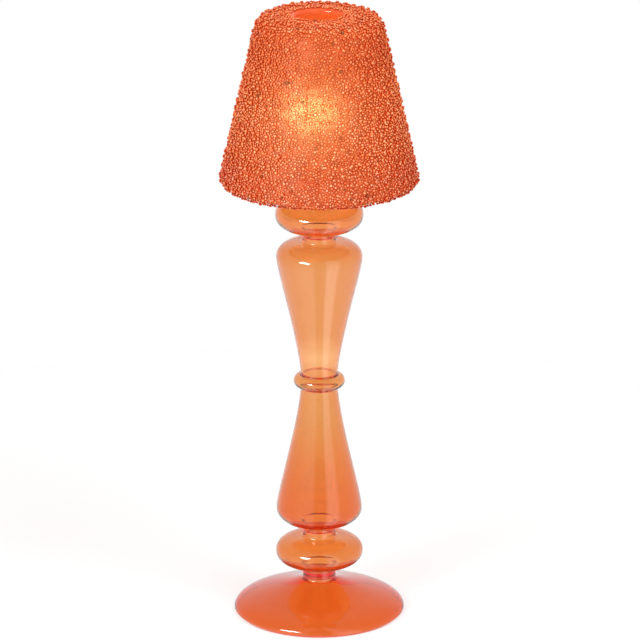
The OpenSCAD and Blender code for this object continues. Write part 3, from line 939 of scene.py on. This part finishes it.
set_beads, start, end = new_geometry_group("set_beads")
ball = add_node(set_beads, "GeometryNodeMeshUVSphere",
                {"Segments": BALL_SEGMENTS, "Rings": BALL_RINGS, "Radius": 1.0})
size = add_node(set_beads, "GeometryNodeInputNamedAttribute", {"Name": "bead_radius"}, data_type="FLOAT")
way_out = add_node(set_beads, "GeometryNodeInputNamedAttribute", {"Name": "way_out"}, data_type="FLOAT_VECTOR")
upright = add_node(set_beads, "FunctionNodeAlignRotationToVector", axis="Z")
ball_place = add_node(set_beads, "GeometryNodeInputPosition")
ball_parts = add_node(set_beads, "ShaderNodeSeparateXYZ")
smooth = add_node(set_beads, "GeometryNodeSetShadeSmooth")
place_balls = add_node(set_beads, "GeometryNodeInstanceOnPoints")
make_real = add_node(set_beads, "GeometryNodeRealizeInstances")
set_beads.links.new(ball_place.outputs[0], ball_parts.inputs[0])
# rise is each ball's height from its girth; the bead material paints its highlight and rim shade from it
marked = store(set_beads, ball.outputs["Mesh"], "rise", ball_parts.outputs["Z"])
set_beads.links.new(marked, smooth.inputs[0])
set_beads.links.new(way_out.outputs[0], upright.inputs["Vector"])
set_beads.links.new(upright.outputs[0], place_balls.inputs["Rotation"])
set_beads.links.new(start.outputs[0], place_balls.inputs["Points"])
set_beads.links.new(smooth.outputs[0], place_balls.inputs["Instance"])
set_beads.links.new(size.outputs[0], place_balls.inputs["Scale"])
set_beads.links.new(place_balls.outputs[0], make_real.inputs[0])
set_beads.links.new(make_real.outputs[0], end.inputs[0])


def bead_piece(name, middles, radii, tones, material, stands_for=()):
    """A piece with a ball at each middle."""
    spots = bpy.data.meshes.new(name + "_spots")
    spots.from_pydata(middles.tolist(), [], [])
    ways = [number for middle in middles for number in outwards(middle)]
    spots.attributes.new("way_out", "FLOAT_VECTOR", "POINT").data.foreach_set("vector", ways)
    patches = np.array([noise.noise(middle / PATCH_SIZE) for middle in map(Vector, middles)])
    trend = np.interp(middles[:, 2], *zip(*TONE_TREND))
    shaded = np.clip(tones + PATCH_DEPTH * patches + trend, FAINTEST, 1)
    tones = np.where(np.asarray(tones) > DARK_SHARE, shaded, tones)
    for key, values in (("bead_radius", radii), ("tone", tones)):
        spots.attributes.new(key, "FLOAT", "POINT").data.foreach_set("value", np.asarray(values, np.float32))
    holder = bpy.data.objects.new(name + "_spots", spots)
    scene.collection.objects.link(holder)
    mesh = applied(holder, set_beads)
    bpy.data.objects.remove(holder)
    mesh.materials.clear()
    mesh.materials.append(material)
    piece = bpy.data.objects.new(name, mesh)
    scene.collection.objects.link(piece)
    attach(piece, "shade")
    if stands_for:
        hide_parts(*stands_for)
    print(name, "has", len(radii), "beads,", len(mesh.polygons), "faces")
    return piece


bead_material = bead_glass()
for band in BANDS:
    middles, radii = large[band]
    tones = [shuffle.uniform(0.15, 1) for _ in radii]
    bead_piece("standing_beads_" + band, middles, radii, tones, bead_material, ["beads_" + band])
turn = np.arctan2(fine_co[:, 1], fine_co[:, 0]) / (2 * math.pi) % 1
for k in range(SECTORS):
    here = (turn * SECTORS).astype(int) == k
    bead_piece(f"fine_beads_{k + 1}", fine_co[here], fine_r[here], fine_tone[here], bead_material)

# %% [markdown]
# ## The bed
#
# Between and under the beads is the glue, tinted by the glass below it. Its dark red is partly
# that tint and partly painted shade in the gaps between the beads. It keeps its CAD shape.
# It is a matt, cloudy layer: some light scatters back from it, and some crosses it, so the flame
# glows through.

# %% Bed material
BED_PASSES_LAMPS = (0.82, 0.83, 0.72, 1)


def glue_bed():
    mat = bpy.data.materials.new("glue_bed")
    mat.use_nodes = True
    tree = mat.node_tree
    tree.nodes.clear()
    out = add_node(tree, "ShaderNodeOutputMaterial")
    place = add_node(tree, "ShaderNodeTexCoord")
    blotch = add_node(tree, "ShaderNodeTexNoise", {"Scale": 160.0, "Detail": 3.0})
    # Dark red matte: the glue's tint, darkened as painted shade between the beads
    colours = colour_ramp(tree, [(0.35, (0.55, 0.095, 0.03, 1)), (0.65, (0.80, 0.19, 0.065, 1))])
    matte = add_node(tree, "ShaderNodeBsdfDiffuse")
    surface = add_node(tree, "ShaderNodeBsdfPrincipled",
                       {"Base Color": (0.36, 0.31, 0.18, 1), "Roughness": 0.5, "IOR": 1.5, "Transmission Weight": 1.0})
    cloudy = add_node(tree, "ShaderNodeMixShader", {"Fac": 0.60})
    tree.links.new(place.outputs["Object"], blotch.inputs["Vector"])
    tree.links.new(blotch.outputs["Fac"], colours.inputs["Fac"])
    tree.links.new(colours.outputs["Color"], matte.inputs["Color"])
    tree.links.new(surface.outputs[0], cloudy.inputs[1])
    tree.links.new(matte.outputs[0], cloudy.inputs[2])
    shadow_passes(tree, cloudy.outputs[0], BED_PASSES_LAMPS, out)
    return mat


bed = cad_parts["bead_bed"]
bed.data.materials.clear()
bed.data.materials.append(glue_bed())
print("bead_bed keeps its", len(bed.data.polygons), "CAD faces")

# %% [markdown]
# ## The tea light
#
# A tea light is a pressed aluminium cup full of wax. Its thin wall has fine upright flutes from
# the press, and its top edge is rolled outwards. The wax stands a little up the wall, and round
# the burning wick it has melted to a clear pool.

# %% Cup
FOIL = 0.3 * MM
FLUTES = 60
FLUTE_DEPTH = 0.12 * MM

cup_low, cup_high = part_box("candle_cup")
cup_top = cup_high.z - FOIL_ROLL
cup_line = [(0, cup_low.z + 0.25 * MM), (5 * MM, cup_low.z + 0.25 * MM), (5.5 * MM, cup_low.z),
            (cup_r - 1 * MM, cup_low.z)]
cup_line += arc((cup_r - 1 * MM, cup_low.z + 1 * MM), 1 * MM, -90, 0)
cup_line += [(cup_r, cup_low.z + h * MM) for h in (2, 4, 6, 8, 10, 12, 13.5)]
cup_line += arc((cup_r, cup_top), FOIL_ROLL, -60, 180)
cup_line += [(cup_r - FOIL, cup_low.z + h * MM) for h in (13.5, 12, 10, 8, 6, 4, 2)]
cup_line += arc((cup_r - 1 * MM, cup_low.z + 1 * MM), 1 * MM - FOIL, 0, -90)
cup_line += [(5.5 * MM, cup_low.z + FOIL), (5 * MM, cup_low.z + 0.25 * MM + FOIL), (0, cup_low.z + 0.25 * MM + FOIL)]
cup = turned(cup_line)
for v in cup.verts:
    r = math.hypot(v.co.x, v.co.y)
    if r > cup_r - 2 * FOIL and cup_low.z + 1.5 * MM < v.co.z < cup_low.z + 13 * MM:
        dent = 1 - FLUTE_DEPTH / r * (0.5 + 0.5 * math.cos(FLUTES * math.atan2(v.co.y, v.co.x)))
        v.co.x *= dent
        v.co.y *= dent


# %% Aluminium
def pressed_aluminium():
    mat = bpy.data.materials.new("pressed_aluminium")
    mat.use_nodes = True
    tree = mat.node_tree
    surface = tree.nodes["Principled BSDF"]
    surface.inputs["Metallic"].default_value = 1.0
    place = add_node(tree, "ShaderNodeTexCoord")
    stretch = add_node(tree, "ShaderNodeMapping", {"Scale": (1, 1, 6)})
    grain = add_node(tree, "ShaderNodeTexNoise", {"Scale": 700.0, "Detail": 3.0})
    rough = add_node(tree, "ShaderNodeMapRange", {"To Min": 0.18, "To Max": 0.42})
    colours = colour_ramp(tree, [(0.3, (0.74, 0.75, 0.76, 1)), (0.7, (0.86, 0.87, 0.88, 1))])
    bump = add_node(tree, "ShaderNodeBump", {"Strength": 0.25, "Distance": 0.1 * MM})
    tree.links.new(place.outputs["Object"], stretch.inputs["Vector"])
    tree.links.new(stretch.outputs["Vector"], grain.inputs["Vector"])
    tree.links.new(grain.outputs["Fac"], rough.inputs["Value"])
    tree.links.new(rough.outputs[0], surface.inputs["Roughness"])
    tree.links.new(grain.outputs["Fac"], colours.inputs["Fac"])
    tree.links.new(colours.outputs["Color"], surface.inputs["Base Color"])
    tree.links.new(grain.outputs["Fac"], bump.inputs["Height"])
    tree.links.new(bump.outputs["Normal"], surface.inputs["Normal"])
    return mat


aluminium = pressed_aluminium()
make_piece("tea_light_cup", cup, aluminium, "tea_light", ["candle_cup"])
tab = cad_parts["wick_tab"]
tab.data.materials.clear()
tab.data.materials.append(aluminium)

# %% Wax
POOL_R = 12 * MM
WAX_GAP = 0.1 * MM

wax_low, wax_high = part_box("wax")
wax_r = wax_high.x
pool_z = wax_high.z - 0.9 * MM
wick_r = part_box("wick")[1].x
hole_r = wick_r + WAX_GAP
tab_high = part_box("wick_tab")[1]
sleeve_r = 1.4 * MM
tab_r = tab_high.x + WAX_GAP
wax_line = [(tab_r, wax_low.z), (wax_r - 0.8 * MM, wax_low.z)]
wax_line += arc((wax_r - 0.8 * MM, wax_low.z + 0.8 * MM), 0.8 * MM, -90, 0)
wax_line += curve((wax_r, wax_high.z), (wax_r - 1.2 * MM, pool_z + 0.2 * MM), (wax_r - 3 * MM, pool_z + 0.3 * MM),
                  (POOL_R, pool_z + 0.25 * MM))
wax_line += curve((POOL_R - 0.2 * MM, pool_z + 0.1 * MM), (POOL_R - 1 * MM, pool_z), (hole_r + 2 * MM, pool_z),
                  (hole_r, pool_z + 0.35 * MM))
wax_line += [(hole_r, tab_high.z + WAX_GAP), (sleeve_r, tab_high.z + WAX_GAP),
             (sleeve_r, wax_low.z + 0.5 * MM), (tab_r, wax_low.z + 0.5 * MM)]


def candle_wax():
    mat = bpy.data.materials.new("candle_wax")
    mat.use_nodes = True
    tree = mat.node_tree
    surface = tree.nodes["Principled BSDF"]
    surface.inputs["Subsurface Weight"].default_value = 0.6
    surface.inputs["Subsurface Radius"].default_value = (3 * MM, 2 * MM, 1.2 * MM)
    surface.inputs["Subsurface Scale"].default_value = 1.0
    place = add_node(tree, "ShaderNodeTexCoord")
    along = add_node(tree, "ShaderNodeVectorMath", operation="LENGTH")
    flat = add_node(tree, "ShaderNodeMapping", {"Scale": (1, 1, 0)})
    rough = add_node(tree, "ShaderNodeMapRange", {"From Min": 0.010, "From Max": 0.014, "To Min": 0.06, "To Max": 0.45})
    mottle = add_node(tree, "ShaderNodeTexNoise", {"Scale": 220.0, "Detail": 4.0})
    colours = colour_ramp(tree, [(0.3, (0.86, 0.80, 0.68, 1)), (0.7, (0.95, 0.92, 0.84, 1))])
    tree.links.new(place.outputs["Object"], flat.inputs["Vector"])
    tree.links.new(flat.outputs["Vector"], along.inputs[0])
    tree.links.new(along.outputs["Value"], rough.inputs["Value"])
    tree.links.new(rough.outputs[0], surface.inputs["Roughness"])
    tree.links.new(place.outputs["Object"], mottle.inputs["Vector"])
    tree.links.new(mottle.outputs["Fac"], colours.inputs["Fac"])
    tree.links.new(colours.outputs["Color"], surface.inputs["Base Color"])
    return mat


make_piece("tea_light_wax", turned(wax_line, closed=True), candle_wax(), "tea_light", ["wax"])

# %% [markdown]
# ## The wick and the flame
#
# The wick stands in its metal tab and curls over at its burnt tip, as plaited cotton does. The
# flame stands on the tip. It is a thin glowing shape: blue and faint at the bottom, where the
# gas burns clean, and yellow-white above. It is also what lights the shade from inside.

# %% Wick
WICK_LEAN = 3.2 * MM
WICK_SIDES = 12
WICK_RINGS = 14

wick_low, wick_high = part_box("wick")
wick_length = wick_high.z - wick_low.z
wick = bmesh.new()
bmesh.ops.create_circle(wick, cap_ends=True, segments=WICK_SIDES, radius=wick_r * 0.92)
bmesh.ops.translate(wick, verts=wick.verts, vec=(0, 0, wick_low.z))
end_face = wick.faces[:]
for ring in range(WICK_RINGS):
    grown = bmesh.ops.extrude_face_region(wick, geom=end_face)
    end_face = [f for f in grown["geom"] if isinstance(f, bmesh.types.BMFace)]
    moved = [v for v in grown["geom"] if isinstance(v, bmesh.types.BMVert)]
    bmesh.ops.translate(wick, verts=moved, vec=(0, 0, wick_length / WICK_RINGS))
    wick.faces.ensure_lookup_table()
for v in wick.verts:
    up = (v.co.z - wick_low.z) / wick_length
    plait = 1 + 0.07 * math.sin(2 * math.atan2(v.co.y, v.co.x) + 40 * up)
    thin = 1 - 0.45 * max(0, up - 0.8) / 0.2
    lean = max(0, up - 0.72) / 0.28
    v.co.x = v.co.x * plait * thin - WICK_LEAN * lean**2
    v.co.y = v.co.y * plait * thin
bmesh.ops.recalc_face_normals(wick, faces=wick.faces)


def wick_cotton():
    mat = bpy.data.materials.new("wick_cotton")
    mat.use_nodes = True
    tree = mat.node_tree
    surface = tree.nodes["Principled BSDF"]
    place = add_node(tree, "ShaderNodeTexCoord")
    parts = add_node(tree, "ShaderNodeSeparateXYZ")
    burnt = add_node(tree, "ShaderNodeMapRange",
                     {"From Min": wick_high.z - 4.2 * MM, "From Max": wick_high.z - 2.2 * MM})
    colours = colour_ramp(tree, [(0.0, (0.72, 0.66, 0.52, 1)), (0.5, (0.20, 0.12, 0.07, 1)), (1.0, (0.02, 0.017, 0.015, 1))])
    strands = add_node(tree, "ShaderNodeTexWave", {"Scale": 500.0, "Distortion": 2.0}, bands_direction="DIAGONAL")
    bump = add_node(tree, "ShaderNodeBump", {"Strength": 0.6, "Distance": 0.15 * MM})
    surface.inputs["Roughness"].default_value = 0.85
    tree.links.new(place.outputs["Object"], parts.inputs[0])
    tree.links.new(parts.outputs["Z"], burnt.inputs["Value"])
    tree.links.new(burnt.outputs[0], colours.inputs["Fac"])
    tree.links.new(colours.outputs["Color"], surface.inputs["Base Color"])
    tree.links.new(place.outputs["Object"], strands.inputs["Vector"])
    tree.links.new(strands.outputs["Fac"], bump.inputs["Height"])
    tree.links.new(bump.outputs["Normal"], surface.inputs["Normal"])
    return mat


make_piece("tea_light_wick", wick, wick_cotton(), "tea_light", ["wick"])

# %% Flame
FLAME_H = 30 * MM
FLAME_R = 3.3 * MM
FLAME_STRENGTH = 1.3
FLAME_LOW = wick_high.z - 2.5 * MM
FLAME_COLOURS = [
    (0.00, (0.06, 0.14, 0.62, 1)),
    (0.10, (0.16, 0.16, 0.42, 1)),
    (0.25, (0.85, 0.36, 0.06, 1)),
    (0.45, (1.00, 0.66, 0.16, 1)),
    (0.75, (1.00, 0.72, 0.24, 1)),
    (1.00, (1.00, 0.42, 0.06, 1)),
]

flame = bmesh.new()
bmesh.ops.create_uvsphere(flame, u_segments=32, v_segments=28, radius=1)
for v in flame.verts:
    up = (v.co.z + 1) / 2
    across = FLAME_R * 2.0 * (1 - up) ** 0.75 * up**0.35
    flat = math.hypot(v.co.x, v.co.y)
    turn = across / flat if flat > 1e-6 else 0
    v.co = Vector((turn * v.co.x - WICK_LEAN, turn * v.co.y, FLAME_LOW + FLAME_H * up))


def flame_glow():
    mat = bpy.data.materials.new("flame_glow")
    mat.use_nodes = True
    tree = mat.node_tree
    tree.nodes.clear()
    out = add_node(tree, "ShaderNodeOutputMaterial")
    place = add_node(tree, "ShaderNodeTexCoord")
    parts = add_node(tree, "ShaderNodeSeparateXYZ")
    up = add_node(tree, "ShaderNodeMapRange", {"From Min": FLAME_LOW, "From Max": FLAME_LOW + FLAME_H})
    body = add_node(tree, "ShaderNodeMapRange", {"From Min": 0.0, "From Max": 0.35, "To Min": 0.25, "To Max": 0.95})
    colours = colour_ramp(tree, FLAME_COLOURS)
    glow = add_node(tree, "ShaderNodeEmission", {"Strength": FLAME_STRENGTH})
    clear = add_node(tree, "ShaderNodeBsdfTransparent")
    mix = add_node(tree, "ShaderNodeMixShader")
    tree.links.new(place.outputs["Object"], parts.inputs[0])
    tree.links.new(parts.outputs["Z"], up.inputs["Value"])
    tree.links.new(up.outputs[0], colours.inputs["Fac"])
    tree.links.new(up.outputs[0], body.inputs["Value"])
    tree.links.new(colours.outputs["Color"], glow.inputs["Color"])
    tree.links.new(body.outputs[0], mix.inputs["Fac"])
    tree.links.new(clear.outputs[0], mix.inputs[1])
    tree.links.new(glow.outputs[0], mix.inputs[2])
    tree.links.new(mix.outputs[0], out.inputs["Surface"])
    return mat


flame_piece = make_piece("tea_light_flame", flame, flame_glow(), "tea_light")
flame_piece.visible_shadow = False

# %% Candlelight
CANDLE_WATTS = 0.145
CANDLE_SMOOTH = 0.0016

candlelight = bpy.data.lights.new("candlelight", "POINT")
candlelight.energy = CANDLE_WATTS
candlelight.color = (1.0, 0.78, 0.46)
candlelight.shadow_soft_size = 4.3 * MM
candlelight.use_nodes = True
falloff = add_node(candlelight.node_tree, "ShaderNodeLightFalloff", {"Strength": 1.0, "Smooth": CANDLE_SMOOTH})
candlelight.node_tree.links.new(falloff.outputs["Quadratic"],
                                candlelight.node_tree.nodes["Emission"].inputs["Strength"])
candle_lamp = bpy.data.objects.new("candlelight", candlelight)
bpy.context.scene.collection.objects.link(candle_lamp)
candle_lamp.location = (-WICK_LEAN, 0, FLAME_LOW + 0.6 * FLAME_H)
candle_lamp.visible_camera = False
candle_lamp.visible_glossy = False
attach(candle_lamp, "tea_light")

# %% [markdown]
# ## Settings and finish
#
# Light crosses many glass faces here, so the bounce limits go up. The picture is denoised, and
# the view transform is Standard, so that colours come out as they are written.

# %% Render settings
scene.view_settings.view_transform = "Standard"
scene.cycles.max_bounces = 36
scene.cycles.transmission_bounces = 32
scene.cycles.transparent_max_bounces = 48
scene.cycles.glossy_bounces = 32
scene.cycles.diffuse_bounces = 4
scene.cycles.caustics_reflective = False
scene.cycles.caustics_refractive = False
scene.cycles.blur_glossy = 0.5
scene.cycles.use_denoising = True
